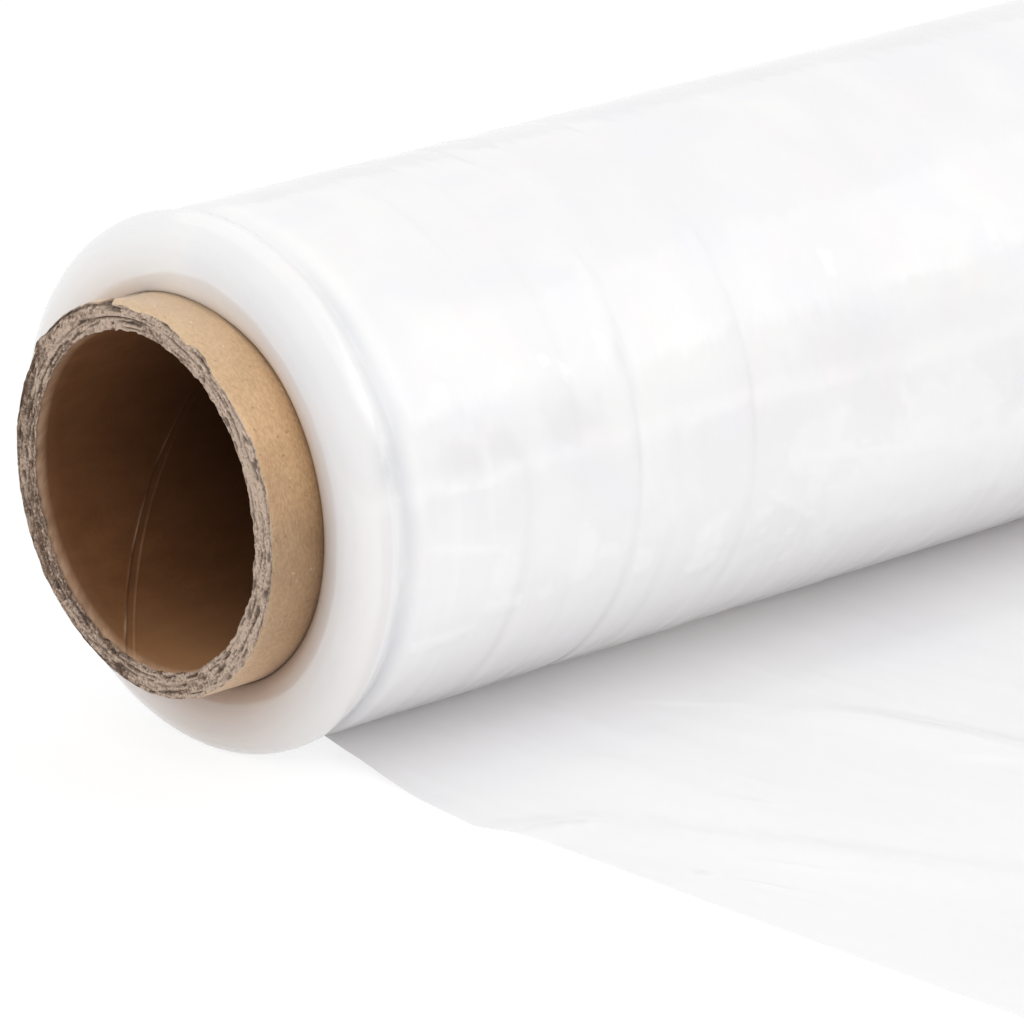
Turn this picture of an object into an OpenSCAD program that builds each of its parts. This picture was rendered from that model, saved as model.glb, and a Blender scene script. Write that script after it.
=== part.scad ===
// Hand roll of stretch film on a cardboard core, lying on its side with its loose end drawn out flat.
// The roll's axis is X. The loose end lies towards -Y. The origin is the middle of the core's bore.
// Every length is in millimetres.

/* [Core] */
// Length of the cardboard tube
core_len = 515; // [320:1:800]
// Outer diameter of the tube
core_od = 58; // [44:0.5:62]
// Wall of the tube
core_wall = 4; // [2:0.25:8]
// Rounding of the tube's outer edge at its cut ends
core_edge = 0.5; // [0.2:0.1:1.5]

/* [Winding] */
// Depth of wound film over the tube
wound_depth = 10.45; // [9:0.05:30]
// Bare tube that stands out past the film at each end
core_show = 7; // [3:0.5:25]
// Depth of the rounded end, from its face to the crest of its bead
end_round = 6; // [3:0.5:9]
// How far the film's foot on the tube lies behind the end face
foot_back = 2.6; // [1:0.1:2.9]
// Height of the bead at each end above the wound film
bead_rise = 0.55; // [0.2:0.05:1.5]
// Depth below the wound film of the groove behind each bead, where the outer turns end
groove_depth = 0.55; // [0.2:0.05:1.5]
// Distance from the bead's crest to the middle of the groove
groove_back = 3.7; // [2:0.1:6]
// Distance from the middle of the groove to the level film
groove_fade = 3.3; // [2:0.1:6]
// Rings of turns that show on the rounded end
turn_rings = 6; // [2:1:8]
// Depth of the dip between two rings of turns
turn_dip = 0.15; // [0.05:0.05:0.3]
// Deepest of the bands pressed into the film round the roll
band_depth = 0.3; // [0.1:0.05:0.5]
// Half the width of one band
band_half = 2.2; // [1:0.1:3.5]
// Radial gap between the tube and the first turn
wrap_gap = 0.05; // [0.02:0.01:0.2]
// How far the soft roll has settled where it lies
flat_sag = 0.2; // [0.1:0.05:0.5]

/* [Loose end] */
// Distance from the roll's axis to the cut edge of the loose film
tail_reach = 300; // [160:5:600]
// Distance from the tube's end to the edge of the loose film
tail_inset = 17.2; // [14:0.1:40]
// Thickness of the loose sheet in this model
tail_thick = 0.4; // [0.3:0.05:1]
// Angle round from the bottom at which the sheet leaves the roll
peel_angle = 22.7; // [12:0.1:32]
// Distance from the roll's axis at which the sheet comes down flat
touch_down = 38; // [30:0.5:60]
// Height of the highest crease in the loose sheet
crease_h = 1.6; // [0.4:0.1:3]
// Lengthwise divisions of the loose sheet
sheet_cols = 60; // [40:2:70]
// Divisions of the loose sheet from the roll to its cut edge
sheet_rows = 20; // [16:1:24]

/* [Hidden] */
$fn = 96;

core_r = core_od / 2;
bore_r = core_r - core_wall;
film_r = core_r + wound_depth;
near_x = -core_len / 2;
floor_z = flat_sag - film_r;

// The rounded end is a half oval in the section of the roll. Its outer half rises to the bead and its
// inner half turns back to the foot on the tube.
bead_r = film_r + bead_rise;
wrap_r = core_r + wrap_gap;
face_r = (bead_r + wrap_r) / 2;
oval_out = bead_r - face_r;
foot_share = 1 - foot_back / end_round;
oval_in = (face_r - wrap_r) / sqrt(1 - foot_share * foot_share);
foot_turn = -acos(foot_share);
crest_x = core_show + end_round;
groove_x = crest_x + groove_back;
level_x = groove_x + groove_fade;
steps_per_ring = 4;
blend_steps = 4;

// Bands round the film: distance from the tube's end, and share of the deepest band
bands = [[39, 1], [49, 0.45], [60.4, 1], [67.3, 0.45], [82.5, 0.7]];

// How far the sheet's edge strays from tail_inset, by distance from the roll's axis
edge_stray = [[10, 2.6], [24, 1.4], [40, -0.9], [54, -2.7], [66, 0], [90, 0]];

// Creases in the sheet: start and end as distances from the tube's end and from the roll's axis, then the
// share of the highest crease and the half width
creases = [
    [12, 57, 32, 68, 0.45, 7], [84, 46, 95, 94, 1, 8], [24, 60, 62, 150, 0.5, 9], [106, 76, 128, 170, 0.6, 10],
    [128, 48, 176, 230, 0.45, 12], [196, 38, 190, 120, 0.8, 10], [226, 70, 262, 280, 0.4, 12],
    [288, 40, 304, 150, 0.7, 10], [350, 52, 332, 260, 0.5, 12], [392, 38, 402, 112, 0.9, 9],
    [442, 60, 420, 210, 0.5, 11], [486, 44, 474, 96, 0.6, 8]
];

// A smooth step from 0 to 1
function ease(t) = 0.5 - 0.5 * cos(180 * min(1, max(0, t)));

// Points of the rounded end, as [radius, distance from the tube's end]
function oval_point(turn, dip) = [
    face_r + (turn < 0 ? oval_in : oval_out) * sin(turn),
    crest_x - (end_round - dip) * cos(turn)
];
round_steps = turn_rings * steps_per_ring;
end_points = [
    for (i = [0 : round_steps])
        let (
            share = i / round_steps,
            turn = foot_turn + (90 - foot_turn) * share,
            fade = sin(180 * share),
            dip = turn_dip * fade * (0.5 - 0.5 * cos(360 * turn_rings * share))
        )
        oval_point(turn, dip)
];

// The groove behind the bead, then the bands, each a smooth dip
groove_points = [
    for (i = [1 : blend_steps])
        [bead_r - (bead_rise + groove_depth) * ease(i / blend_steps), crest_x + groove_back * i / blend_steps],
    for (i = [1 : blend_steps])
        [film_r - groove_depth * (1 - ease(i / blend_steps)), groove_x + groove_fade * i / blend_steps]
];
band_points = [
    for (band = bands, i = [-blend_steps : 2 : blend_steps])
        [film_r - band_depth * band[1] * (1 - ease(abs(i) / blend_steps)), band[0] + band_half * i / blend_steps]
];
half_section = concat(end_points, groove_points, band_points);
last = len(half_section) - 1;
section = concat(
    [for (p = half_section) [p[0], near_x + p[1]]],
    [for (i = [0 : last]) let (p = half_section[last - i]) [p[0], -near_x - p[1]]]
);

// The sheet leaves the roll at the peel line and slopes down to the floor
peel_y = film_r * sin(peel_angle);
peel_h = film_r - film_r * cos(peel_angle) - flat_sag;
root_sink = 5.2;
root_y = peel_y - root_sink;
slope_power = 1.5;
function slope(y, land) =
    let (t = (y - peel_y) / (land - peel_y))
    t < 0 ? peel_h * (1 - slope_power * t) : t < 1 ? peel_h * pow(1 - t, slope_power) : 0;

// Height of one crease at a point of the sheet
function crease_at(x, y, c) =
    let (
        run = [c[2] - c[0], c[3] - c[1]],
        from = [x - c[0], y - c[1]],
        along = (from * run) / (run * run),
        aside = abs(from[0] * run[1] - from[1] * run[0]) / norm(run)
    )
    along <= 0 || along >= 1 || aside >= c[5] ? 0
        : crease_h * c[4] * sin(180 * along) * pow(cos(90 * aside / c[5]), 2);
function crease_sum(x, y) = max([for (c = creases) crease_at(x, y, c)]);

// Height of the sheet's underside above the floor. The line where it lands wanders a little.
land_wander = 4;
short_wave = 2.3;
long_wave = 0.9;
wave_start = 40;
function land_y(x) = touch_down + land_wander * sin(x * short_wave) * sin(x * long_wave + wave_start);
function lift(x, y) = slope(y, land_y(x)) + crease_sum(x, y);

// Rows of the sheet lie closer together near the roll
row_power = 1.6;
function row_y(j) = root_y + (tail_reach - root_y) * pow(j / sheet_rows, row_power);
function edge_x(y) = tail_inset + lookup(y, edge_stray);
function col_x(i, y) = edge_x(y) + (core_len - 2 * edge_x(y)) * i / sheet_cols;
function sheet_point(i, j, up) =
    let (y = row_y(j), x = col_x(i, y))
    [near_x + x, -y, floor_z + lift(x, y) + up];

module core() {
    color([0.72, 0.56, 0.38])
        rotate([0, 90, 0])
            rotate_extrude()
                polygon([
                    [bore_r, near_x],
                    [core_r - core_edge, near_x],
                    [core_r, near_x + core_edge],
                    [core_r, -near_x - core_edge],
                    [core_r - core_edge, -near_x],
                    [bore_r, -near_x]
                ]);
}

module winding() {
    difference() {
        rotate([0, 90, 0])
            rotate_extrude()
                polygon(section);
        translate([near_x, -bead_r, floor_z - bead_r])
            cube([core_len, 2 * bead_r, bead_r]);
    }
}

module loose_end() {
    across = sheet_cols + 1;
    layer = across * (sheet_rows + 1);
    points = [
        for (up = [0, tail_thick], j = [0 : sheet_rows], i = [0 : sheet_cols]) sheet_point(i, j, up)
    ];
    function at(i, j, k) = k * layer + j * across + i;
    under = [
        for (j = [0 : sheet_rows - 1], i = [0 : sheet_cols - 1])
            each [[at(i, j, 0), at(i, j + 1, 0), at(i + 1, j + 1, 0)], [at(i, j, 0), at(i + 1, j + 1, 0), at(i + 1, j, 0)]]
    ];
    over = [
        for (j = [0 : sheet_rows - 1], i = [0 : sheet_cols - 1])
            each [[at(i, j, 1), at(i + 1, j + 1, 1), at(i, j + 1, 1)], [at(i, j, 1), at(i + 1, j, 1), at(i + 1, j + 1, 1)]]
    ];
    ends = [
        for (i = [0 : sheet_cols - 1], j = [0, sheet_rows])
            let (a = at(i, j, 0), b = at(i + 1, j, 0), c = at(i + 1, j, 1), d = at(i, j, 1))
            each j == 0 ? [[a, b, c], [a, c, d]] : [[a, c, b], [a, d, c]]
    ];
    sides = [
        for (j = [0 : sheet_rows - 1], i = [0, sheet_cols])
            let (a = at(i, j, 0), b = at(i, j + 1, 0), c = at(i, j + 1, 1), d = at(i, j, 1))
            each i == 0 ? [[a, c, b], [a, d, c]] : [[a, b, c], [a, c, d]]
    ];
    polyhedron(points, concat(under, over, ends, sides));
}

module film() {
    color([0.94, 0.95, 0.97])
        union() {
            winding();
            loose_end();
        }
}

core();
film();
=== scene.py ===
"""Looks of the stretch wrap roll: the cardboard core, the wound film and its loose end.

Lengths in this script are in millimetres, measured along the roll from the core's near end, until a
mesh is made. The roll's axis is X, the loose end lies towards -Y and +Z is up.
"""

import math

import bpy
import numpy as np
from mathutils import Matrix, Vector


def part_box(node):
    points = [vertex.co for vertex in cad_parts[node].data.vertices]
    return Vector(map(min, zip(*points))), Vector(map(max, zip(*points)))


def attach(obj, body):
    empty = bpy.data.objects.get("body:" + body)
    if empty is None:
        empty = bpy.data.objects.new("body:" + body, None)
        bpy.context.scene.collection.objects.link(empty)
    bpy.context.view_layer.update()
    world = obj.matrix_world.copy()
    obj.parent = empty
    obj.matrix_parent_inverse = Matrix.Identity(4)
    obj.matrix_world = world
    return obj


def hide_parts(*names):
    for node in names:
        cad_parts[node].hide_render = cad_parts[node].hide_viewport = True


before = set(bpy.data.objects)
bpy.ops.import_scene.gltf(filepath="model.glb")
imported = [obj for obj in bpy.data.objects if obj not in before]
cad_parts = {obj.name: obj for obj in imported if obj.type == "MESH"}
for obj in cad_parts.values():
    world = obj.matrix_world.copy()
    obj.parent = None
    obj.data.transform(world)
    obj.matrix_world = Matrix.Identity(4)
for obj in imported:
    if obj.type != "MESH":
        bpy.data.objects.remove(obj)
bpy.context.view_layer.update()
MM = 0.001
TAU = 2 * math.pi

# Sizes from the frame
core_lo, core_hi = (np.array(corner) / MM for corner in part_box("core"))
film_lo, film_hi = (np.array(corner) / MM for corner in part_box("film"))
near_x = core_lo[0]
core_len = core_hi[0] - core_lo[0]
core_r = core_hi[2]
floor_z = film_lo[2]
bead_r = film_hi[2]
tail_reach = -film_lo[1]
core_wall = 4.0
bore_r = core_r - core_wall

# Sizes of the wound film, as in the solid model
core_show = film_lo[0] - near_x
end_round = 6.0
foot_back = 2.6
bead_rise = 0.55
groove_depth = 0.55
groove_back = 3.7
groove_fade = 3.3
wrap_gap = 0.05
film_r = bead_r - bead_rise
wrap_r = core_r + wrap_gap
face_r = (bead_r + wrap_r) / 2
crest_s = core_show + end_round
groove_s = crest_s + groove_back
level_s = groove_s + groove_fade

turn_rings = 6
turn_dip = 0.05
FOOT_CROWD = 1.6

# Bands round the film: distance from the core's end, depth and half width
BANDS = [
    (39.0, 0.30, 2.2), (49.0, 0.12, 1.6), (60.4, 0.30, 2.2), (67.3, 0.14, 1.6), (82.5, 0.21, 2.2),
]

# Spiral seam of the core's inner ply: its angle at the near end, its turn to the millimetre, its half gap
SEAM_START = math.radians(-79.5)
SEAM_TURN = math.radians(3.07)
SEAM_HALF = 0.42

# Loose sheet
tail_inset = 17.2
peel_angle = math.radians(22.7)
touch_down = 38.0
land_wander = 4.0
slope_power = 1.5
EDGE_STRAY = [(10, 2.6), (24, 1.4), (40, -0.9), (54, -2.7), (66, 0), (90, 0)]


# Noise


def lattice(ix, iy, iz, seed):
    """A fixed random number from 0 to 1 for each whole-number point."""
    h = (ix * 374761393 + iy * 668265263 + iz * 1442695041 + seed * 974634777) & 0xFFFFFFFF
    h = ((h ^ (h >> 13)) * 1274126177) & 0xFFFFFFFF
    return ((h ^ (h >> 16)) & 0xFFFF) / 65535.0


def noise(p, scale, seed):
    """Smooth noise from -1 to 1 at points p, with cells of the given size along each axis."""
    q = p / np.asarray(scale, float)
    cell = np.floor(q).astype(np.int64)
    t = q - cell
    t = t * t * (3 - 2 * t)
    total = 0.0
    for dx in (0, 1):
        wx = t[..., 0] if dx else 1 - t[..., 0]
        for dy in (0, 1):
            wy = t[..., 1] if dy else 1 - t[..., 1]
            for dz in (0, 1):
                wz = t[..., 2] if dz else 1 - t[..., 2]
                corner = lattice(cell[..., 0] + dx, cell[..., 1] + dy, cell[..., 2] + dz, seed)
                total = total + wx * wy * wz * corner
    return 2 * total - 1


def ring_noise(s, r, angle, s_cell, r_cell, cells, seed):
    """Noise from -1 to 1 in a ring: cells along the roll, outwards and a whole number of them round it."""
    u, v, w = s / s_cell, r / r_cell, (angle / TAU % 1) * cells
    i, j, k = (np.floor(q).astype(np.int64) for q in (u, v, w))
    a, b, c = (ease(q - cell) for q, cell in ((u, i), (v, j), (w, k)))
    total = 0.0
    for di in (0, 1):
        for dj in (0, 1):
            for dk in (0, 1):
                share = (a if di else 1 - a) * (b if dj else 1 - b) * (c if dk else 1 - c)
                total = total + share * lattice(i + di, j + dj, (k + dk) % cells, seed)
    return 2 * total - 1


def layered(p, scale, seed, layers=3):
    """Noise with finer, weaker layers added."""
    scale = np.asarray(scale, float)
    total = 0.0
    for layer in range(layers):
        total = total + noise(p, scale / 2**layer, seed + layer) / 2**layer
    return total


def ease(t):
    """A smooth step from 0 to 1."""
    t = np.clip(t, 0, 1)
    return t * t * (3 - 2 * t)


def crowding(angle):
    """How much nearer to the core's end the film's foot lies over the top of the core than elsewhere."""
    return FOOT_CROWD * dip(around(angle, 88), math.radians(56))


def dip(distance, half):
    """1 at the middle of a smooth dip and 0 beyond its half width."""
    return 1 - ease(np.abs(distance) / half)


def around(angle, degrees):
    """Signed turn in radians from a place round the roll, given in degrees."""
    return (angle - math.radians(degrees) + math.pi) % TAU - math.pi


# Meshes


def grid_faces(rows, cols, wrap_rows, wrap_cols):
    """Quads over a grid of points, row by row."""
    i = np.arange(rows if wrap_rows else rows - 1)
    j = np.arange(cols if wrap_cols else cols - 1)
    i, j = np.meshgrid(i, j, indexing="ij")
    down = (i + 1) % rows
    side = (j + 1) % cols
    quads = np.stack([i * cols + j, i * cols + side, down * cols + side, down * cols + j], axis=-1)
    return quads.reshape(-1, 4)


def halves(quads):
    """Two triangles for each quad, always across the same diagonal."""
    return np.concatenate([quads[:, [0, 1, 2]], quads[:, [0, 2, 3]]])


def make_piece(name, points, faces, materials, slots=None, shades=None, flat_from=None):
    """A smooth mesh from points in millimetres, with flat faces from flat_from on.

    shades are named numbers held by each point.
    """
    mesh = bpy.data.meshes.new(name)
    mesh.vertices.add(len(points))
    mesh.vertices.foreach_set("co", (points * MM).astype(np.float32).ravel())
    mesh.loops.add(faces.size)
    mesh.loops.foreach_set("vertex_index", faces.astype(np.int32).ravel())
    mesh.polygons.add(len(faces))
    mesh.polygons.foreach_set("loop_start", np.arange(0, faces.size, faces.shape[1], dtype=np.int32))
    mesh.update(calc_edges=True)
    smooth = np.ones(len(faces), dtype=bool)
    if flat_from is not None:
        smooth[flat_from:] = False
    mesh.polygons.foreach_set("use_smooth", smooth)
    for material in materials:
        mesh.materials.append(material)
    if slots is not None:
        mesh.polygons.foreach_set("material_index", slots.astype(np.int32))
    for key, values in (shades or {}).items():
        layer = mesh.attributes.new(key, "FLOAT", "POINT")
        layer.data.foreach_set("value", values.astype(np.float32).ravel())
    mesh.validate()
    piece = bpy.data.objects.new(name, mesh)
    bpy.context.scene.collection.objects.link(piece)
    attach(piece, "root")
    return piece


# Materials


class Shader:
    """A material's node tree, with a short way to add and join nodes."""

    def __init__(self, name):
        self.material = bpy.data.materials.new(name)
        self.material.use_nodes = True
        self.tree = self.material.node_tree
        self.tree.nodes.clear()
        self.out = self.tree.nodes.new("ShaderNodeOutputMaterial")

    def node(self, kind, settings=None, **sockets):
        made = self.tree.nodes.new("ShaderNode" + kind)
        for key, value in (settings or {}).items():
            setattr(made, key, value)
        for key, value in sockets.items():
            self.put(made.inputs[key.replace("_", " ")], value)
        return made

    def put(self, socket, value):
        if isinstance(value, bpy.types.NodeSocket):
            self.tree.links.new(value, socket)
        elif isinstance(value, tuple) and len(value) == 3 and socket.type == "RGBA":
            socket.default_value = (*value, 1.0)
        else:
            socket.default_value = value

    def place(self, scale):
        """The point on the object, in units of 1 / scale metres along each axis."""
        coords = self.node("TexCoord")
        return self.node("Mapping", {"vector_type": "POINT"}, Vector=coords.outputs["Object"], Scale=scale).outputs[0]

    def cloud(self, scale, detail=3.0, roughness=0.5):
        """Noise from 0 to 1 with about scale cells to the metre along each axis."""
        return self.node(
            "TexNoise", Vector=self.place(scale), Scale=1.0, Detail=detail, Roughness=roughness
        ).outputs["Fac"]

    def shade(self, name):
        return self.node("Attribute", {"attribute_name": name}).outputs["Fac"]

    def math(self, kind, a, b=0.0):
        made = self.tree.nodes.new("ShaderNodeMath")
        made.operation = kind
        self.put(made.inputs[0], a)
        self.put(made.inputs[1], b)
        return made.outputs[0]

    def span(self, value, low, high, to_low=0.0, to_high=1.0):
        """Maps low to high onto to_low to to_high, and holds the ends."""
        made = self.node("MapRange", {"clamp": True})
        for socket, number in zip(made.inputs[:5], (value, low, high, to_low, to_high)):
            self.put(socket, number)
        return made.outputs[0]

    def blend(self, share, a, b):
        """Colour a where share is 0 and b where it is 1."""
        made = self.node("Mix", {"data_type": "RGBA"})
        self.put(made.inputs[0], share)
        self.put(made.inputs[6], a)
        self.put(made.inputs[7], b)
        return made.outputs[2]

    def bump(self, height, distance, strength=1.0, under=None):
        made = self.node("Bump", Strength=strength, Distance=distance, Height=height)
        if under is not None:
            self.put(made.inputs["Normal"], under)
        return made.outputs[0]

    def finish(self, surface):
        self.put(self.out.inputs["Surface"], surface)
        return self.material


def kraft(name, low, high, speck):
    """Smooth kraft paper: fine fibres along the ply, soft mottling and a few specks."""
    m = Shader(name)
    mottle = m.span(m.cloud((150, 150, 150), 4), 0.34, 0.66)
    fibre = m.span(m.cloud((2600, 1400, 1400), 3, 0.6), 0.36, 0.64)
    specks = m.math("MULTIPLY", m.span(m.cloud((1300, 1300, 1300), 1), 0.69, 0.76), 0.6)
    colour = m.blend(m.math("ADD", m.math("MULTIPLY", mottle, 0.42), m.math("MULTIPLY", fibre, 0.58)), low, high)
    colour = m.blend(specks, colour, speck)
    flecks = m.math("MULTIPLY", m.span(m.cloud((900, 900, 900), 1), 0.74, 0.79), 0.8)
    colour = m.blend(flecks, colour, (0.85, 0.66, 0.44))
    # Worn rims and seam edges blend to pale kraft, and so does a painted highlight over the top of the outside
    colour = m.blend(m.shade("wear_and_painted_top_light"), colour, (0.87, 0.67, 0.45))
    # Painted shade in creases and clefts and over the side that faces the loose end, and the seam's dark line
    colour = m.blend(m.shade("gap"), colour, (0.10, 0.06, 0.035))
    normal = m.bump(m.cloud((3000, 1500, 1500), 3), 0.00014, 0.6)
    body = m.node("BsdfPrincipled", Base_Color=colour, Roughness=0.42, Normal=normal)
    body.inputs["Specular IOR Level"].default_value = 0.8
    body.inputs["Sheen Weight"].default_value = 0.2
    body.inputs["Sheen Roughness"].default_value = 0.5
    return m.finish(body.outputs[0])


def torn_board():
    """The cut end of the tube: pale grey-brown fibre in streaks round the ring, with dark pits."""
    m = Shader("torn_board")
    grain = m.span(m.cloud((2300, 2300, 2300), 4, 0.65), 0.36, 0.62)
    pits = m.span(m.cloud((1500, 1500, 1500), 3, 0.6), 0.55, 0.66)
    fibre = m.math("ADD", m.math("MULTIPLY", m.shade("fibre"), 0.62), m.math("MULTIPLY", grain, 0.38))
    colour = m.blend(m.span(fibre, 0.2, 0.75), (0.20, 0.131, 0.094), (0.81, 0.632, 0.505))
    colour = m.blend(m.math("MULTIPLY", pits, 0.45), colour, (0.13, 0.085, 0.06))
    # Painted shade in the clefts between the plies, in the nick and in the pit
    colour = m.blend(m.shade("gap"), colour, (0.045, 0.028, 0.020))
    normal = m.bump(grain, 0.0003, 0.8)
    body = m.node("BsdfPrincipled", Base_Color=colour, Roughness=0.95, Normal=normal)
    body.inputs["Specular IOR Level"].default_value = 0.1
    return m.finish(body.outputs[0])


def bore_liner():
    """The innermost ply, darker and rougher than the outside, with its spiral seam."""
    m = Shader("bore_liner")
    mottle = m.span(m.cloud((170, 300, 300), 5, 0.62), 0.35, 0.65)
    colour = m.blend(mottle, (0.178, 0.075, 0.028), (0.222, 0.095, 0.037))
    # Painted shade deeper in the bore and along one side
    colour = m.blend(m.shade("painted_deep_shade"), colour, (0.060, 0.022, 0.008))
    # Painted light along the bottom near the mouth
    colour = m.blend(m.shade("bottom"), colour, (0.46, 0.235, 0.105))
    colour = m.blend(m.shade("gap"), colour, (0.10, 0.055, 0.03))
    colour = m.blend(m.shade("wear_and_painted_top_light"), colour, (0.78, 0.55, 0.38))
    normal = m.bump(m.cloud((1800, 1800, 1800), 3), 0.00015, 0.4)
    body = m.node("BsdfPrincipled", Base_Color=colour, Roughness=0.85, Normal=normal)
    body.inputs["Specular IOR Level"].default_value = 0.2
    return m.finish(body.outputs[0])


def wound_film():
    """Many turns of clear film: milky and glossy, since the stacked layers reflect like pearl."""
    m = Shader("wound_film")
    tone = m.span(m.cloud((70, 45, 45), 2), 0.36, 0.64)
    colour = m.blend(tone, (0.915, 0.915, 0.920), (0.950, 0.948, 0.946))
    rosy = m.span(m.cloud((120, 75, 75), 1), 0.54, 0.66)
    colour = m.blend(m.math("MULTIPLY", rosy, 0.45), colour, (0.950, 0.910, 0.907))
    lilac = m.span(m.cloud((75, 95, 95), 1), 0.55, 0.68)
    colour = m.blend(m.math("MULTIPLY", lilac, 0.5), colour, (0.905, 0.905, 0.942))
    # Painted shade, painted light and highlights, and a painted brown shade near the core
    colour = m.blend(m.shade("dim"), colour, (0.60, 0.61, 0.65))
    colour = m.blend(m.shade("painted_light"), colour, (1.0, 0.998, 0.996))
    colour = m.blend(m.shade("painted_core_shade"), colour, (0.60, 0.515, 0.465))
    ripple = m.cloud((380, 30, 30), 1, 0.55)
    mottle = m.cloud((150, 110, 110), 1, 0.5)
    normal = m.bump(mottle, 0.0006, 0.25, m.bump(ripple, 0.0004, 0.2))
    gloss = m.span(m.cloud((90, 60, 60), 1), 0.35, 0.65, 0.10, 0.20)
    mirror = m.span(m.shade("dull"), 0.0, 1.0, 0.55, 0.12)
    body = m.node("BsdfPrincipled", Base_Color=colour, Roughness=gloss, Metallic=mirror, Normal=normal)
    body.inputs["IOR"].default_value = 1.5
    body.inputs["Subsurface Weight"].default_value = 0.25
    body.inputs["Subsurface Radius"].default_value = (1.0, 1.0, 1.0)
    body.inputs["Subsurface Scale"].default_value = 0.0025
    return m.finish(body.outputs[0])


def loose_film():
    """One layer of clear film, seen against what it lies on."""
    m = Shader("loose_film")
    tone = m.span(m.cloud((30, 14, 30), 1), 0.38, 0.62)
    colour = m.blend(tone, (0.940, 0.936, 0.966), (0.972, 0.968, 0.988))
    # Painted shadow of the roll near it, and painted shade and highlights along the folds
    colour = m.blend(m.shade("dim"), colour, (0.55, 0.52, 0.51))
    colour = m.blend(m.shade("painted_light"), colour, (1.0, 1.0, 1.0))
    ripple = m.cloud((200, 60, 100), 1, 0.55)
    normal = m.bump(ripple, 0.0004, 0.2)
    body = m.node("BsdfPrincipled", Base_Color=colour, Roughness=0.2, Normal=normal, Alpha=m.shade("haze"))
    body.inputs["IOR"].default_value = 1.45
    return m.finish(body.outputs[0])


# The core

CORE_COLS = 680
# The bore's grid turns with the seam near both ends, by one whole turn in all
NEAR_TWIST = 66.0
FAR_TWIST = TAU / SEAM_TURN - NEAR_TWIST


def core_twist(s):
    """Turn of the bore's grid at a distance along the roll."""
    return SEAM_TURN * (np.minimum(s, NEAR_TWIST) + np.maximum(s - (core_len - FAR_TWIST), 0))


def seam_distance(s, angle):
    """Distance over the bore from the inner ply's spiral seam, square to it."""
    off = (angle - SEAM_START - SEAM_TURN * s + math.pi) % TAU - math.pi
    return off * bore_r / math.sqrt(1 + (SEAM_TURN * bore_r) ** 2)


def core_rows():
    """The tube's section as a closed loop of (distance along the roll, radius, zone)."""
    outer = 0
    cut = 1
    bore = 2
    near_skin = [(s, core_r, outer) for s in (0.2, 0.5, 0.9, 1.4, 2, 3, 4, 5, 6, 7, 8, 8.7, 9.1, 9.5, 10.2)]
    mid_skin = [(s, core_r, outer) for s in np.linspace(40, core_len - 40, 4)]
    far_skin = [(core_len - s, r, zone) for s, r, zone in reversed(near_skin)]
    far_cut = [(core_len, core_r - 4 * i / 20, cut) for i in range(1, 20)]
    far_bore = [(core_len - s, bore_r, bore) for s in (0.3, 0.8, 1.4, *np.linspace(2.2, FAR_TWIST, 24))]
    mid_bore = [(s, bore_r, bore) for s in np.linspace(core_len - FAR_TWIST, NEAR_TWIST, 6)[1:-1]]
    near_bore = [(s, bore_r, bore) for s in reversed((0.3, 0.8, 1.4, *np.linspace(2.2, NEAR_TWIST, 31)))]
    near_cut = [(0.0, bore_r + 4 * i / 26, cut) for i in range(1, 26)]
    return near_skin + mid_skin + far_skin + far_cut + far_bore + mid_bore + near_bore + near_cut


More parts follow.
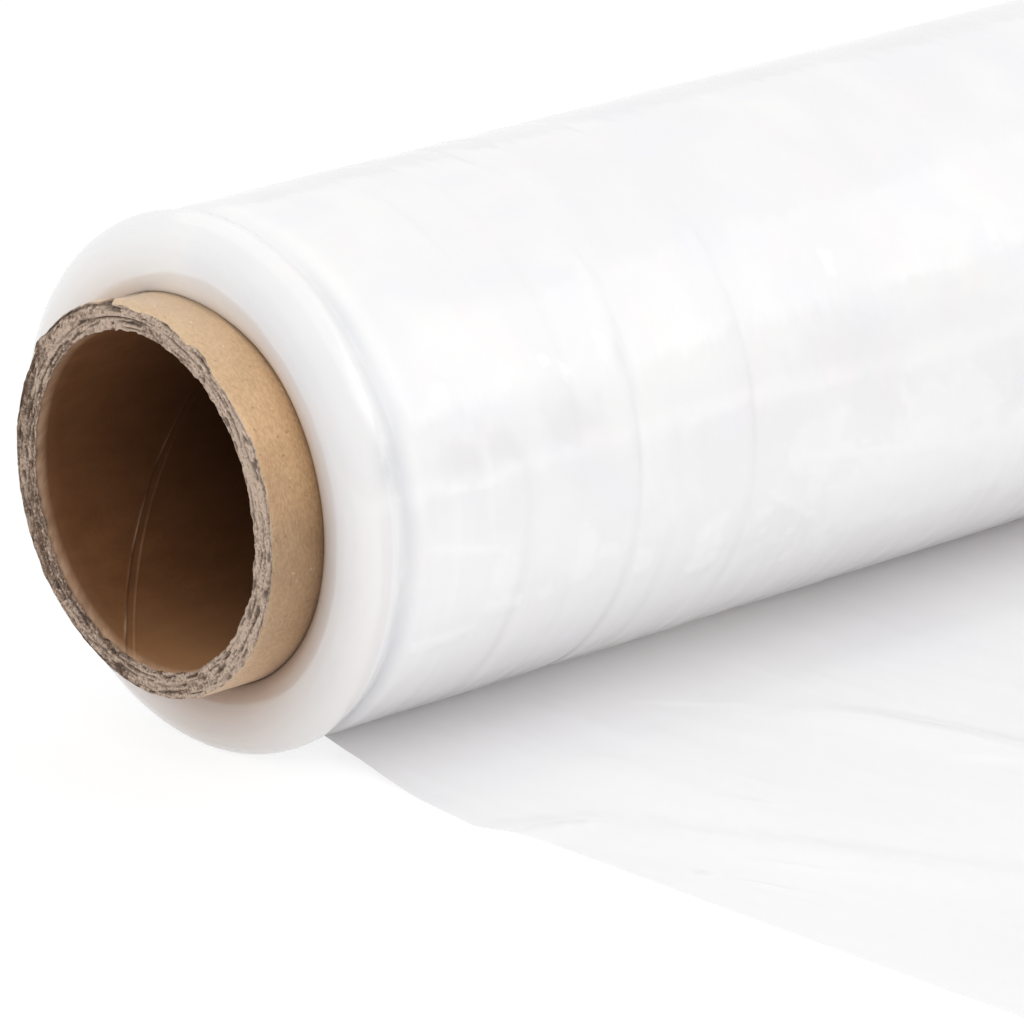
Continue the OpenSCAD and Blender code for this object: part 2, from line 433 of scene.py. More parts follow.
def make_core():
    rows = core_rows()
    s, r, zone = (np.array(column)[:, None] for column in zip(*rows))
    inner = zone == 2
    cut = zone == 1
    skin = zone == 0
    angle = (np.arange(CORE_COLS) / CORE_COLS * TAU)[None, :] + np.where(inner, core_twist(s), 0)
    s = s + 0 * angle
    r = r + 0 * angle
    end = np.where(s < core_len / 2, 1.0, -1.0)
    from_end = np.minimum(s, core_len - s)
    near = s < core_len / 2

    # The inner ply's seam is a shallow gap between two pale edges
    away = seam_distance(s, angle)
    closing = 1 - 0.9 * ease((from_end - 13) / 15)
    frayed = ease(0.55 + 0.8 * ring_noise(s, r, angle, 1.6, 5, 60, 31))
    r = r + inner * (0.12 * closing * (1 - ease((np.abs(away) - SEAM_HALF) / 0.25)) - 0.07 * frayed * dip(np.abs(away) - SEAM_HALF - 0.3, 0.3))
    seam_line = inner * (0.25 * (1 - ease((np.abs(away) - SEAM_HALF) / 0.2)) + 0.9 * dip(away - SEAM_HALF, 0.22))
    broken = ease(0.15 + 1.7 * ring_noise(s, r, angle, 0.8, 5, 200, 32))
    edges = inner * frayed * dip(np.abs(away) - SEAM_HALF - 0.22, 0.24) * np.where(away > 0, broken, 0.12)
    # It closes deeper in
    seam_line, edges = seam_line * closing, edges * closing

    # The sawn end is torn: streaks of fibre round the ring, with the plies a little apart
    streaks = 0.5 + 0.5 * ring_noise(s, r, angle, 9, 0.36, 44, 11)
    short = 0.5 + 0.5 * ring_noise(s, r, angle, 9, 0.26, 130, 14)
    fine = 0.5 + 0.5 * ring_noise(s, r, angle, 9, 0.2, 330, 12)
    lumps = ring_noise(s, r, angle, 9, 1.6, 22, 13)
    fibre = np.clip(0.26 * streaks + 0.36 * short + 0.38 * fine + 0.16 * lumps, 0, 1)
    fibre = np.clip(0.5 + 1.75 * (fibre - 0.5), 0, 1)
    apart = 0.0
    for k, depth in enumerate((0.42, 1.15, 1.9, 2.7, 3.4)):
        place = core_r - depth + 0.14 * ring_noise(s, r, angle, 9, 9, 34, 40 + k)
        open_here = ease(-0.15 + 1.5 * ring_noise(s, r, angle, 9, 9, 16 + 3 * k, 50 + k))
        apart = np.maximum(apart, open_here * dip(r - place, 0.16 + 0.08 * lumps))
    cleft = ease((ring_noise(s, r, angle, 9, 0.34, 92, 16) - 0.42) / 0.2)
    apart = np.maximum(apart, 0.75 * cleft)
    # The outer ply has come away from the board along one side of the near end
    split = near * ease(1.6 - np.abs(around(angle, 172)) / math.radians(28)) * (
        0.55 + 0.45 * ring_noise(s, r, angle, 9, 9, 44, 61))
    apart = np.maximum(apart, split * dip(r - (core_r - 0.45 + 0.12 * lumps), 0.16))
    # Two deeper tears: a nick in the outer ply, and a pit at the side
    nick = near * dip(around(angle, 75.5), math.radians(3.2)) * ease((r - 27.6) / 1.0)
    pit = near * dip(around(angle, 196), math.radians(3.5)) * dip(r - 27.9, 0.6)
    # Painted shade darkens the clefts between the plies, the nick and the pit
    gap = np.clip(cut * np.maximum.reduce([0.85 * apart, 0.8 * nick, 0.8 * pit]), 0, 1)
    inward = cut * (0.22 * (1 - fibre) + 0.4 * apart + 0.8 * pit + 0.05 * (1 + lumps))
    # The outer rim is bitten away at the top
    bite = near * dip(around(angle, 112), math.radians(70)) * ease(0.5 + 0.9 * ring_noise(s, 0 * r, angle, 99, 9, 64, 62))
    bitten = 0.8 * bite * (cut * ease((r - 27.6) / 1.2) + skin * dip(from_end, 2.2))
    s = s + end * (inward + bitten + (cut | skin) * 1.3 * nick * dip(from_end, 2.5))
    # Both rims are worn, and a flake of the outer ply stands off
    wear = 0.5 + 0.5 * ring_noise(s, 0 * r, angle, 2.2, 9, 72, 71)
    s = s + end * (1 - cut) * 0.12 * dip(from_end, 1.2) * wear
    lip = 0.25 + 0.45 * np.cos(angle)
    r = r + inner * dip(from_end, 1.7) * (0.5 * (wear - 0.5) + lip) - skin * 0.08 * dip(from_end, 1.0) * wear
    torn_in = 0.15 * ring_noise(s, 0 * r, angle, 99, 9, 140, 73) + 0.14 * ring_noise(s, 0 * r, angle, 99, 9, 330, 74)
    r = r + torn_in * (inner * dip(from_end, 1.3) + cut * ease(1 - (r - bore_r) / 0.8))
    torn_out = 0.1 * (1 + ring_noise(s, 0 * r, angle, 99, 9, 170, 75))
    r = r - torn_out * (skin * dip(from_end, 0.9) + cut * ease((r - 28.1) / 0.8))
    turned_in = near * 0.9 * ease(1.4 * dip(around(angle, 106), math.radians(52))) * (0.6 + 0.4 * wear)
    r = r - turned_in * (skin * dip(from_end, 2.6) + cut * ease((r - 26.6) / 2.2))
    flake = near * dip(around(angle, 39.5), math.radians(5.5)) * dip(from_end, 1.6)
    # The outer ply stands a little proud on the side away from the loose end
    flared = near * 0.85 * ease(1.5 * dip(around(angle, 22), math.radians(100))) * (0.7 + 0.3 * wear)
    r = np.minimum(r, core_r) + (skin * dip(from_end, 5) + cut * ease((r - 26.5) / 2.4)) * flared
    r = r + skin * 0.75 * flake

    rim = inner * dip(from_end, 2.6) * (0.42 + 0.25 * wear) * (0.65 + 0.35 * np.cos(angle + 0.7))
    rim = rim * (0.9 + 0.3 * broken)
    # Painted light makes the outside paler on top
    painted_top_light = 0.38 * skin * dip(around(angle, 96), math.radians(62))
    wear_and_painted_top_light = np.clip(rim + edges + painted_top_light + skin * 0.5 * dip(from_end, 0.7) * wear, 0, 1)
    points = np.stack([near_x + s, r * np.cos(angle), r * np.sin(angle)], axis=-1).reshape(-1, 3)
    faces = grid_faces(len(rows), CORE_COLS, True, True)
    zones = zone[:, 0]
    after = np.roll(zones, -1)
    face_zone = np.where((zones == 1) | (after == 1), 1, np.maximum(zones, after))
    # Painted shade on the outside: a dark line in the crease at the film's foot, in the nick, and over the side that
    # faces the loose end
    painted_skin_shade = skin * np.maximum(0.55 * dip(from_end - core_show - foot_back + crowding(angle), 0.8), 0.7 * nick)
    painted_skin_shade = np.maximum(painted_skin_shade, skin * 0.47 * dip(around(angle, 192), math.radians(50)))
    materials = [
        kraft("kraft_outside", (0.48, 0.278, 0.132), (0.73, 0.468, 0.244), (0.26, 0.140, 0.068)),
        torn_board(),
        bore_liner(),
    ]
    # The fibre is greyer and darker at the top of the ring, paler low down and on the side of the loose end
    patch = 0.18 * ring_noise(s, r, angle, 9, 3, 14, 91) + 0.09 * np.sin(angle) - 0.30 * np.cos(angle) + 0.14
    shades = {"gap": np.maximum.reduce([gap, 0.3 * seam_line, painted_skin_shade]), "wear_and_painted_top_light": wear_and_painted_top_light, "fibre": np.clip(fibre + patch, 0, 1)}
    # Painted light along the bore's bottom near the mouth, and painted shade deeper in and on the side towards +Y
    shades["bottom"] = inner * dip(around(angle, 258), math.radians(62)) * ease(1 - from_end / 60) * (0.75 + 0.25 * lumps)
    depth = ease((from_end - 4) / 44) * (1 - 0.4 * dip(around(angle, 70), math.radians(70)))
    shades["painted_deep_shade"] = inner * (0.60 * depth + 0.40 * dip(around(angle, 6), math.radians(56)))
    shades["painted_deep_shade"] = shades["painted_deep_shade"] * (1 - shades["bottom"])
    core = make_piece("core_tube", points, faces, materials, np.repeat(face_zone, CORE_COLS), shades)
    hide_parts("core")
    return core


# The wound film

FILM_COLS = 320
# Patches where the outer turn has not clung, or lies closer: distance from the core's end, degrees round
# from +Y, half length, half width round the roll, height, and painted tone from shade to highlight
POCKETS = [
    (38.2, 152.8, 0.5, 2.5, 0.05, 0.8), (46.1, 152.3, 0.8, 1.0, 0.08, 0.9), (57, 152.6, 0.6, 2.2, 0.08, 0.9),
    (49.1, 155.6, 0.6, 1.5, 0.08, 0.6), (25.8, 153.2, 1.8, 0.8, 0.04, 0.5), (73.8, 153.5, 0.6, 1.7, 0.07, 0.9),
    (103, 149.3, 0.8, 1.7, 0.07, 0.8), (135.5, 151.2, 0.8, 2.0, 0.08, 0.9), (34.6, 196.1, 2.7, 3.5, 0.06, 1.0),
    (35.2, 203, 3.4, 1.0, 0.10, 1.0), (24.8, 208.1, 4.3, 1.4, 0.10, 1.0), (27.8, 168.2, 4.6, 3.6, -0.05, -0.17),
    (35.3, 167.3, 3.0, 2.8, -0.05, -0.15), (48.9, 165.6, 5.4, 3.2, -0.05, -0.14), (50.2, 196.5, 2.1, 5.7, 0.05, 0.8),
    (55.1, 197, 2.0, 1.7, 0.06, 0.8), (75.5, 205.1, 3.0, 4.5, 0.20, 1.0), (95, 186.5, 6.0, 4.6, 0.10, 0.7),
    (122, 187, 10.5, 5.0, 0.08, 0.7), (113, 167, 26, 5.0, -0.05, -0.08), (124, 204, 26, 8.0, 0.03, 0.9),
    (93, 209, 7.0, 5.0, -0.08, -0.05), (31, 182, 7.0, 3.0, -0.04, -0.05), (66, 184, 5.0, 6.0, 0.05, 0.4),
    (44, 203.5, 1.6, 1.0, 0.08, 0.9), (63, 203, 1.2, 1.8, 0.08, 0.9), (86, 200, 1.4, 1.2, 0.10, 0.9),
    (200, 188, 8.0, 4.0, 0.12, 0.5), (262, 160, 5.0, 4.0, 0.12, 0.6), (330, 196, 9.0, 3.0, 0.12, 0.5),
    (405, 170, 6.0, 5.0, 0.12, 0.6), (470, 205, 7.0, 3.0, 0.12, 0.6), (120, 60, 9.0, 5.0, 0.12, 0.5),
    (260, 30, 8.0, 4.0, 0.12, 0.5), (380, 75, 7.0, 5.0, 0.12, 0.5), (60, 340, 8.0, 4.0, 0.12, 0.5),
]
# Folds of the outer turn: points as (distance from the core's end, degrees round), then the height, the painted
# highlight along the line, and the painted shade beside it on its lower side
FILM_FOLDS = [
    ([(19, 183.7), (28.4, 187), (38, 190.3)], 0.06, 0.9, 0.0),
    ([(25.2, 168), (25.4, 187), (25.2, 207)], 0.03, 0.4, 0.03), ([(31.8, 168), (31.9, 188)], 0.03, 0.4, 0.03),
    ([(89.5, 187.6), (97.8, 189.7), (110.5, 193.2), (121.4, 196.3), (127.7, 198.9), (132.5, 203.7)], 0.10, 1.0, 0.06),
    ([(85.6, 194.3), (91, 198.8), (97.5, 205.1), (102.4, 211.3)], 0.07, 1.0, 0.04),
    ([(60.5, 163), (61.2, 178), (60.9, 192)], 0.03, 0.35, 0.0),
    ([(150, 170), (172, 174), (190, 183)], 0.12, 0.6, 0.12), ([(240, 196), (262, 190), (284, 192)], 0.12, 0.6, 0.12),
    ([(350, 176), (372, 181), (395, 180)], 0.12, 0.6, 0.12), ([(300, 45), (325, 52), (350, 50)], 0.12, 0.6, 0.12),
]


def fold_distance(s, across, points):
    """Distance from a chain of straight runs, signed by its side, and a fade towards both its ends."""
    nearest = np.full(s.shape, 1e9)
    signed = np.zeros(s.shape)
    fade = np.zeros(s.shape)
    runs = len(points) - 1
    for k in range(runs):
        (s0, a0), (s1, a1) = points[k], points[k + 1]
        run_s, run_a = s1 - s0, a1 - a0
        share = np.clip(((s - s0) * run_s + (across - a0) * run_a) / (run_s**2 + run_a**2), 0, 1)
        away = np.hypot(s - s0 - share * run_s, across - a0 - share * run_a)
        side = np.sign((across - a0) * run_s - (s - s0) * run_a)
        closer = away < nearest
        nearest = np.where(closer, away, nearest)
        signed = np.where(closer, away * side, signed)
        fade = np.where(closer, (k + share) / runs, fade)
    return signed, np.sin(math.pi * np.clip(fade, 0, 1)) ** 0.6


def end_rows():
    """Section of one rounded end, from the foot on the tube to the level film, as (distance, radius)."""
    foot_share = 1 - foot_back / end_round
    oval_in = (face_r - wrap_r) / math.sqrt(1 - foot_share**2)
    start = -math.acos(foot_share)
    share = np.linspace(0, 1, 34)
    turns = start + (math.pi / 2 - start) * share
    reach = np.where(turns < 0, oval_in, bead_r - face_r)
    ring = turn_dip * np.sin(math.pi * share) * (0.5 - 0.5 * np.cos(TAU * turn_rings * share))
    oval = np.stack([crest_s - (end_round - ring) * np.cos(turns), face_r + reach * np.sin(turns)], axis=1)
    s = np.concatenate([np.arange(crest_s + 0.5, groove_s, 0.5), np.arange(groove_s, level_s, 0.5)])
    down = bead_r - (bead_rise + groove_depth) * ease((s - crest_s) / groove_back)
    up = film_r - groove_depth * (1 - ease((s - groove_s) / groove_fade))
    groove = np.stack([s, np.where(s < groove_s, down, up)], axis=1)
    return np.concatenate([oval, groove])


def film_rows():
    near = end_rows()
    far = near[::-1] * [-1, 1] + [core_len, 0]
    spans = [
        np.arange(level_s, 106, 0.8), np.arange(106, 142, 1.1), np.arange(142, 180, 2.4),
        np.arange(180, core_len - 90, 9.0), np.arange(core_len - 90, core_len - level_s + 0.1, 3.0),
    ]
    level = np.concatenate(spans)
    return np.concatenate([near, np.stack([level, np.full(len(level), film_r)], axis=1), far])


def make_winding():
    rows = film_rows()
    angle = (np.arange(FILM_COLS) / FILM_COLS * TAU)[None, :]
    s = rows[:, 0][:, None] + 0 * angle
    r = rows[:, 1][:, None] + 0 * angle
    p = np.stack([s, r * np.cos(angle), r * np.sin(angle)], axis=-1)
    from_end = np.minimum(s, core_len - s)
    level = ease((from_end - level_s + 2) / 4)

    # Outward direction of the section at each row
    step = np.gradient(rows, axis=0)
    out = np.stack([-step[:, 1], step[:, 0]], axis=1)
    out /= np.linalg.norm(out, axis=1)[:, None]

    # Bands pressed round the film, uneven in depth and wandering a little, with painted shade along them
    dim = np.zeros_like(s)
    sink = np.zeros_like(s)
    for k, (place, depth, half) in enumerate(BANDS):
        wander = 0.35 * noise(p * [0, 1, 1], 26, 40 + k)
        strength = ease(0.55 + 0.6 * noise(p * [0, 1, 1], 16, 60 + k))
        away = from_end - place + wander
        sink += depth * strength * (0.55 * dip(away, half) + 0.45 * dip(away, 0.9))
        dim += depth / 0.3 * strength * (0.20 * dip(away, 0.8) + 0.08 * dip(away, half))
    # The bands' painted shade hardly shows on the top, where the film is brightest
    dim *= 1 - 0.75 * ease((np.sin(angle) - 0.38) / 0.3)
    # Streaks of gauge round the roll, soft dents, and pockets with painted highlights and painted shade
    streaks = 0.006 * noise(p, (1.3, 60, 60), 71) + 0.025 * noise(p, (4.5, 50, 50), 72)
    dents = 0.05 * layered(p, (14, 9, 9), 81, 2)
    painted_light = np.zeros_like(s)
    raised = np.zeros_like(s)
    for k, (place, degrees, half_s, half_w, height, tone) in enumerate(POCKETS):
        fold = 1 + 0.35 * noise(p, 3.2, 130 + k) + 0.3 * noise(p, 1.5, 230 + k)
        u = np.abs((s - place) / half_s)
        v = np.abs(around(angle, degrees) * film_r / half_w)
        reach = (u**3 + v**3) ** (1 / 3) * fold
        inside = 1 - ease((reach - 0.75) / 0.45)
        raised += height * inside * (0.75 + 0.6 * noise(p, 1.6, 330 + k))
        painted_light += max(tone, 0) * (0.7 * inside + 0.3 * dip(reach - 0.85, 0.2)) * (0.85 + 0.3 * noise(p, 2.2, 160 + k))
        dim += max(-tone, 0) * (1 - ease((reach - 0.4) / 0.9))
    for points, height, tone, shaded in FILM_FOLDS:
        middle = points[len(points) // 2][1]
        chain = [(a, math.radians(b - middle) * film_r) for a, b in points]
        away, fade = fold_distance(s, around(angle, middle) * film_r, chain)
        raised += height * fade * dip(away, 1.4)
        painted_light += tone * fade * dip(away, 1.0)
        dim += shaded * fade * ease((away - 0.3) / 0.8) * ease(1 - away / 6.5)
    # The film's foot is less deep over the top of the core
    inner = (r < face_r) * np.clip((from_end - core_show) / foot_back, 0, 1)
    s = s - np.where(s < core_len / 2, 1, -1) * inner * crowding(angle)
    # The bead's edge is ragged where the turns end a little apart
    edge_on = dip(from_end - crest_s - 1.2, 3.2)
    ragged = ring_noise(s, r, angle, 1.5, 50, 88, 171) + 0.6 * ring_noise(s, r, angle, 0.9, 50, 190, 172)
    lift = level * (streaks + dents - sink + raised) - (1 - level) * 0.02 * (1 + noise(p, (3, 30, 30), 95))
    lift = lift - edge_on * 0.07 * (1 + ragged)
    s = s + lift * out[:, 0][:, None]
    r = r + lift * out[:, 1][:, None]
    r = np.clip(r, wrap_r, bead_r)

    y = r * np.cos(angle)
    z = np.maximum(r * np.sin(angle), floor_z)
    points = np.stack([near_x + s, y, z], axis=-1).reshape(-1, 3)
    # Painted shade in the groove behind the bead, fading over the top
    groove = dip(from_end - groove_s + 0.2, 2.7) * ease(0.75 + 0.5 * noise(p, (50, 14, 14), 97))
    groove = groove * (1 - 0.7 * ease((np.sin(angle) - 0.75) / 0.25))
    # Painted brown shade on the end face near the core, stronger on the side that faces the loose end and the floor
    lower = ease(0.5 - 0.5 * np.cos(angle - math.radians(60)))
    rise = np.maximum(r - core_r, 0)
    glow = 0.45 * lower * np.exp(-rise / (0.9 + lower)) + 0.95 * lower * np.exp(-rise / 6.5)
    glow += 0.32 * dip(around(angle, 254), math.radians(50)) * ease((bead_r + 1 - r) / 6)
    # Painted light on the end face near the core over the top, and on its upper side towards +Y
    painted_light += 0.8 * (1 - lower) * np.exp(-rise / 2.0) * (from_end < crest_s)
    painted_light += 0.3 * dip(around(angle, 46), math.radians(38)) * (from_end < crest_s)
    # Painted highlights on the bead's ragged edge
    painted_light += 0.5 * edge_on * ease(ragged - 0.2)
    # A painted highlight along the bead's crest, on its upper side towards the loose end
    painted_bead_highlight = dip(from_end - crest_s + 0.4, 1.7) * dip(around(angle, 148.5), math.radians(11))
    painted_light += 0.9 * painted_bead_highlight * ease(0.7 + ragged)
    end_face = ease((bead_r - 0.2 - r) / 4.5) * (from_end < crest_s)
    # The low side is milkier and mirrors less, and painted light makes it paler
    under = ease((-np.sin(angle) - 0.15) / 0.4)
    dull = np.maximum(end_face, 0.8 * under)
    painted_light += 0.53 * ease((0.08 - np.sin(angle)) / 0.34) * level
    # Painted shade over the top of the film
    dim += 0.12 * ease((np.sin(angle) - 0.3) / 0.2) * level
    # Painted shade just under the bright strip, and on the end's side that faces the loose end
    dim += 0.05 * dip(np.degrees(angle) - 168, 11) * level
    degrees = np.degrees(angle)
    shaded_side = ease((degrees - 80) / 45) * ease((265 - degrees) / 60) * (from_end < crest_s + 1)
    dim += shaded_side * (0.08 * (1 - painted_bead_highlight) + 0.26 * ease((bead_r + 0.5 - r) / 4))
    # A blot of painted shade beside the bead
    dim += 0.45 * dip(from_end - crest_s - 0.8, 3.6) * dip(degrees - 164.5, 8)
    glow = np.clip(glow, 0, 0.95) * (from_end < crest_s)
    shades = {
        "dim": np.clip(dim + 0.58 * groove, 0, 1), "painted_light": np.clip(painted_light, 0, 1), "painted_core_shade": glow,
        "dull": dull,
    }
    faces = grid_faces(len(rows), FILM_COLS, False, True)
    # The bore of the film closes the mesh against the tube
    last = (len(rows) - 1) * FILM_COLS
    j = np.arange(FILM_COLS)
    side = (j + 1) % FILM_COLS
    bore = np.stack([last + j, last + side, side, j], axis=1)
    winding = make_piece("film_winding", points, np.concatenate([faces, bore]), [wound_film()], None, shades)
    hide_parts("film")
    return winding


# The loose end

TAIL_CREASES = [
    (12, 57, 32, 68, 0.3, 7), (80, 48, 92, 98, 0.55, 7), (24, 60, 62, 150, 0.5, 9), (106, 76, 128, 170, 0.6, 10),
    (128, 48, 176, 230, 0.45, 12), (196, 38, 190, 120, 0.8, 10), (226, 70, 262, 280, 0.4, 12),
    (288, 40, 304, 150, 0.7, 10), (350, 52, 332, 260, 0.5, 12), (392, 38, 402, 112, 0.9, 9),
    (442, 60, 420, 210, 0.5, 11), (486, 44, 474, 96, 0.6, 8),
]
CREASE_H = 1.6
TAIL_THICK = 0.04
# Sharp folds that show as lines: start and end as above, height, half width, and painted tone from shade to highlight
TAIL_FOLDS = [
    (82.5, 54, 91.5, 92, 0.2, 1.8, -0.3), (84.5, 54, 93.5, 92, 0.15, 2.0, 0.5), (14.5, 59.5, 29, 66, 0.2, 1.2, -0.3),
    (22, 89.5, 26, 91.5, 0.2, 1.0, -0.35), (64, 31, 77, 44, 0.05, 1.8, 0.5), (79, 78, 87, 92, 0.15, 2.4, 1.0),
    (46, 70, 50, 78, 0.1, 1.0, -0.12), (30, 89, 41, 113, 0.2, 1.2, 0.35), (24, 94, 30, 108, 0.2, 1.0, 0.35),
    (100, 96, 118, 152, 0.4, 1.2, -0.4), (150, 60, 163, 118, 0.4, 1.2, 0.5), (188, 46, 184, 92, 0.4, 1.2, -0.5),
    (238, 92, 256, 170, 0.4, 1.3, 0.4), (292, 52, 300, 110, 0.4, 1.2, -0.5), (345, 70, 333, 150, 0.4, 1.2, 0.4),
    (395, 46, 400, 96, 0.4, 1.2, -0.5), (437, 80, 425, 160, 0.4, 1.2, 0.4), (482, 52, 475, 90, 0.4, 1.1, -0.5),
    (60, 170, 84, 236, 0.4, 1.3, -0.3), (210, 180, 232, 262, 0.4, 1.3, 0.3), (370, 190, 352, 270, 0.4, 1.3, -0.3),
]


def ridge(s, d, start_s, start_d, end_s, end_d, half):
    """1 along the middle of a low ridge between two points of the sheet, fading to its ends and sides."""
    run_s, run_d = end_s - start_s, end_d - start_d
    long = math.hypot(run_s, run_d)
    along = ((s - start_s) * run_s + (d - start_d) * run_d) / long**2
    aside = ((s - start_s) * run_d - (d - start_d) * run_s) / long
    inside = (along > 0) & (along < 1) & (np.abs(aside) < half)
    return np.sin(math.pi * np.clip(along, 0, 1)) * np.cos(math.pi / 2 * np.clip(aside / half, -1, 1)) ** 2 * inside


def tail_height(s, d):
    """Height of the loose sheet above the floor, at distance s along the roll and d from its axis."""
    peel_d = film_r * math.sin(peel_angle)
    peel_h = film_r * (1 - math.cos(peel_angle)) - (film_r + floor_z)
    land = touch_down + land_wander * np.sin(np.radians(2.3 * s)) * np.sin(np.radians(0.9 * s + 40))
    t = (d - peel_d) / (land - peel_d)
    slope = np.where(t < 0, peel_h * (1 - slope_power * t), peel_h * np.clip(1 - t, 0, 1) ** slope_power)
    creases = [CREASE_H * c[4] * ridge(s, d, *c[:4], c[5]) for c in TAIL_CREASES]
    return slope + np.max(creases, axis=0)


def make_tail():
    cols, rows = 320, 150
    peel_d = film_r * math.sin(peel_angle)
    share = np.linspace(0, 1, rows + 1)[:, None]
    d = peel_d - 1.5 + (tail_reach - peel_d + 1.5) * share**1.7
    edge = tail_inset + np.interp(d, *zip(*EDGE_STRAY))
    across = np.linspace(0, 1, cols + 1)[None, :] ** 1.7
    s = edge + (core_len - 2 * edge) * across
    d = d + 0 * s
    p = np.stack([s, d, 0 * s], axis=-1)
    flat = ease((d - peel_d - 2) / 12)
    fine = 0.16 * layered(p, (9, 34, 1), 111, 3) + 0.22 * noise(p, (26, 60, 1), 115) + 0.15
    settled = 0.5 * (fine + np.sqrt(fine**2 + 0.04))
    # Painted shadow of the roll on the sheet where it rises to the roll
    dim = 0.56 * dip(d - peel_d, 32)
    painted_light = np.zeros_like(s)
    folds = np.zeros_like(s)
    # The folds carry painted shade or painted highlights along their lines
    for k, (start_s, start_d, end_s, end_d, height, half, tone) in enumerate(TAIL_FOLDS):
        wave = 0.8 * noise(p, 7, 140 + k)
        line = ridge(s + wave, d, start_s, start_d, end_s, end_d, half)
        folds += height * line
        dim += max(-tone, 0) * line
        painted_light += max(tone, 0) * line
    z = floor_z + tail_height(s, d) + flat * (settled + folds) + 0.02
    top = np.stack([near_x + s, -d, z + TAIL_THICK], axis=-1).reshape(-1, 3)
    under = np.stack([near_x + s, -d, z], axis=-1).reshape(-1, 3)
    count = len(top)
    quads = grid_faces(rows + 1, cols + 1, False, False)
    ring = np.concatenate([
        np.arange(cols + 1), (np.arange(1, rows + 1) + 1) * (cols + 1) - 1,
        rows * (cols + 1) + np.arange(cols - 1, -1, -1), np.arange(rows - 1, 0, -1) * (cols + 1),
    ])
    after = np.roll(ring, -1)
    rim = np.stack([ring, ring + count, after + count, after], axis=1)
    tris = halves(quads)
    faces = np.concatenate([tris[:, ::-1], tris + count, halves(rim)])
    # The film looks milkier where it rises to the roll
    haze = np.clip(0.50 + 0.06 * noise(p, (30, 50, 1), 118) + 0.46 * dip(d - peel_d, 45), 0, 1)
    shades = {"dim": np.clip(dim, 0, 1), "painted_light": np.clip(painted_light, 0, 1), "haze": haze}
    shades = {key: np.concatenate([value.ravel(), value.ravel()]) for key, value in shades.items()}
    # Only the upper side is milky, so that the sheet doesn't count as two layers
    shades["haze"][count:] = 0
    tail = make_piece("film_tail", np.concatenate([top, under]), faces, [loose_film()], None, shades, 2 * len(tris))
    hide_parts("film")
    return tail


# Camera, from the photograph's perspective

FOCAL_PX = 7128.09
IMAGE_PX = 1024
CAMERA_AT = (-590.02, -768.26, 304.76)
CAMERA_AZ = math.radians(40.632)
CAMERA_EL = math.radians(17.655)
CAMERA_ROLL = math.radians(-1.740)
SENSOR_MM = 36.0


def make_camera():
    data = bpy.data.cameras.new("camera")
    data.sensor_width = SENSOR_MM
    data.lens = SENSOR_MM * FOCAL_PX / IMAGE_PX
    data.clip_start = 0.01
    data.clip_end = 50
    ahead = Vector((
        math.sin(CAMERA_AZ) * math.cos(CAMERA_EL), math.cos(CAMERA_AZ) * math.cos(CAMERA_EL), -math.sin(CAMERA_EL)
    ))
    right = Vector((math.cos(CAMERA_AZ), -math.sin(CAMERA_AZ), 0))
    up = right.cross(ahead)
    tilted_right = math.cos(CAMERA_ROLL) * right + math.sin(CAMERA_ROLL) * up
    tilted_up = math.cos(CAMERA_ROLL) * up - math.sin(CAMERA_ROLL) * right
    turn = Matrix((tilted_right, tilted_up, -ahead)).transposed()
    camera = bpy.data.objects.new("camera", data)
    bpy.context.scene.collection.objects.link(camera)
    at = Vector((near_x + CAMERA_AT[0], CAMERA_AT[1], CAMERA_AT[2])) * MM
    camera.matrix_world = Matrix.Translation(at) @ turn.to_4x4()
    bpy.context.scene.camera = camera


# Floor, world and lamps


def seen_rays(m):
    """1 for rays that the background answers with its own white: camera, glossy and transmission."""
    path = m.node("LightPath")
    shown = m.math("MAXIMUM", path.outputs["Is Camera Ray"], path.outputs["Is Glossy Ray"])
    return m.math("MAXIMUM", shown, path.outputs["Is Transmission Ray"])


def make_floor():
    half = 4000.0
    z = floor_z - 0.02
    points = np.array([(-half, -half, z), (half, -half, z), (half, half, z), (-half, half, z)])
    mesh = bpy.data.meshes.new("floor")
    mesh.from_pydata([tuple(q) for q in points * MM], [], [(0, 1, 2, 3)])
    floor = bpy.data.objects.new("floor", mesh)
    bpy.context.scene.collection.objects.link(floor)
    m = Shader("floor_white")
    lit = m.node("BsdfDiffuse", Color=(0.93, 0.93, 0.93))
    half_lit = m.node("BsdfDiffuse", Color=(0.3, 0.3, 0.3))
    glow = m.node("Emission", Color=(1, 1, 1), Strength=0.78)
    shown = m.node("AddShader")
    m.tree.links.new(half_lit.outputs[0], shown.inputs[0])
    m.tree.links.new(glow.outputs[0], shown.inputs[1])
    mix = m.node("MixShader")
    m.put(mix.inputs[0], seen_rays(m))
    m.tree.links.new(lit.outputs[0], mix.inputs[1])
    m.tree.links.new(shown.outputs[0], mix.inputs[2])
    mesh.materials.append(m.finish(mix.outputs[0]))


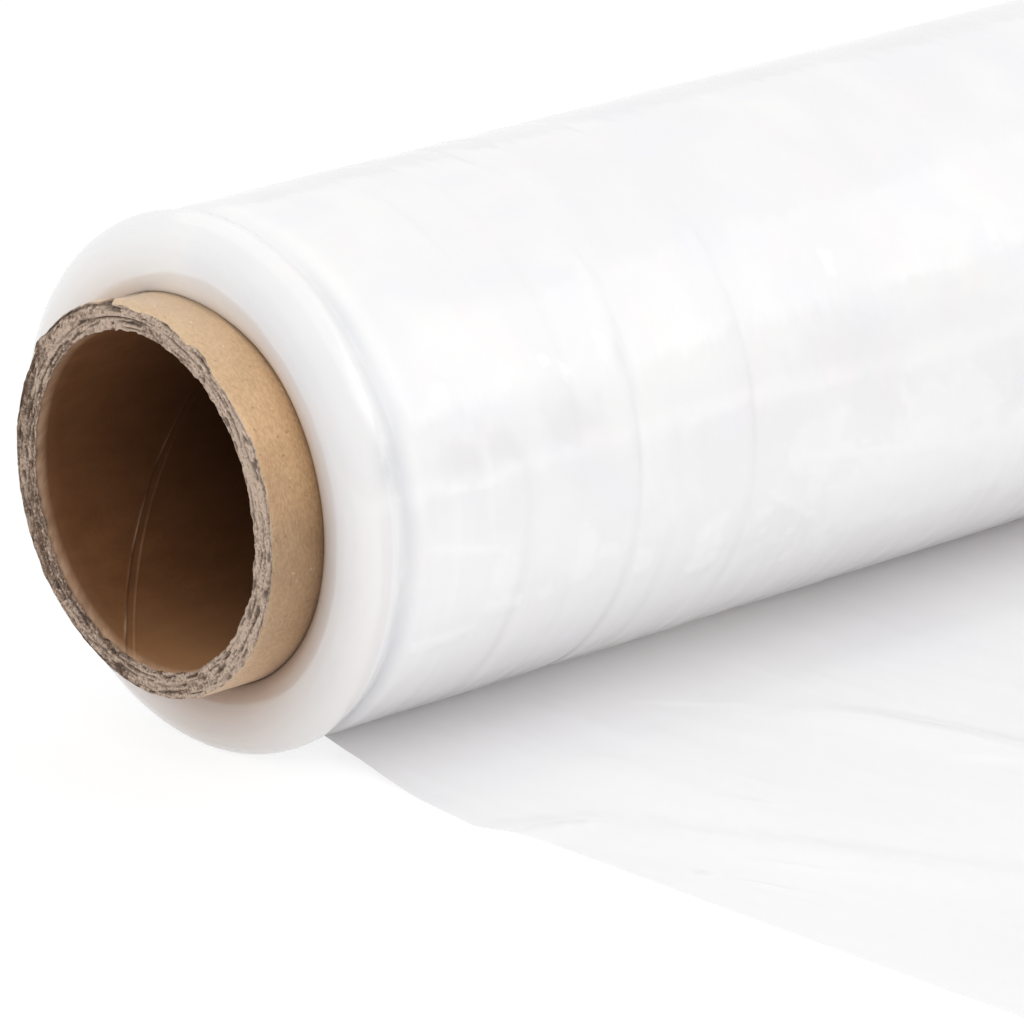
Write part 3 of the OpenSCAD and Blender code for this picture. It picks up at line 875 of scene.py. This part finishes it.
def make_world():
    world = bpy.data.worlds.new("studio")
    bpy.context.scene.world = world
    world.use_nodes = True
    tree = world.node_tree
    tree.nodes.clear()
    path = tree.nodes.new("ShaderNodeLightPath")
    shown = tree.nodes.new("ShaderNodeMath")
    shown.operation = "MAXIMUM"
    tree.links.new(path.outputs["Is Camera Ray"], shown.inputs[0])
    tree.links.new(path.outputs["Is Glossy Ray"], shown.inputs[1])
    seen = tree.nodes.new("ShaderNodeMath")
    seen.operation = "MAXIMUM"
    tree.links.new(shown.outputs[0], seen.inputs[0])
    tree.links.new(path.outputs["Is Transmission Ray"], seen.inputs[1])
    white = tree.nodes.new("ShaderNodeBackground")
    white.inputs[0].default_value = (1, 1, 1, 1)
    fill = tree.nodes.new("ShaderNodeBackground")
    fill.inputs[0].default_value = (1, 0.995, 0.99, 1)
    fill.inputs[1].default_value = WORLD_FILL
    mix = tree.nodes.new("ShaderNodeMixShader")
    tree.links.new(seen.outputs[0], mix.inputs[0])
    tree.links.new(fill.outputs[0], mix.inputs[1])
    tree.links.new(white.outputs[0], mix.inputs[2])
    out = tree.nodes.new("ShaderNodeOutputWorld")
    tree.links.new(mix.outputs[0], out.inputs[0])


def make_lamp(name, azimuth, elevation, distance, width, height, watts, colour, mirrored):
    """A softbox that faces the near half of the roll. Azimuth turns from +X towards +Y."""
    az, el = math.radians(azimuth), math.radians(elevation)
    aim = Vector((near_x * 0.6 * MM, 0, 0))
    towards = Vector((math.cos(el) * math.cos(az), math.cos(el) * math.sin(az), math.sin(el)))
    data = bpy.data.lights.new(name, "AREA")
    data.shape = "RECTANGLE"
    data.size = width
    data.size_y = height
    data.energy = watts
    data.color = colour
    lamp = bpy.data.objects.new(name, data)
    bpy.context.scene.collection.objects.link(lamp)
    lamp.visible_glossy = mirrored
    lamp.location = aim + towards * distance
    lamp.rotation_euler = towards.to_track_quat("Z", "Y").to_euler()


WORLD_FILL = 0.76

make_camera()
make_core()
make_winding()
make_tail()
make_floor()
make_world()
make_lamp("front", 228, 44, 1.6, 1.5, 1.5, 4.9, (1.0, 0.99, 0.98), False)
make_lamp("fill", -95, 4, 1.8, 2.2, 0.9, 7.0, (1.0, 0.995, 0.99), False)
make_lamp("ceiling", 0, 56, 1.5, 4.4, 1.75, 2.2, (1.0, 0.99, 0.98), True)
make_lamp("key", -38, 33, 1.5, 1.4, 0.7, 0.18, (1.0, 0.96, 0.92), True)

scene = bpy.context.scene
scene.view_settings.view_transform = "Standard"
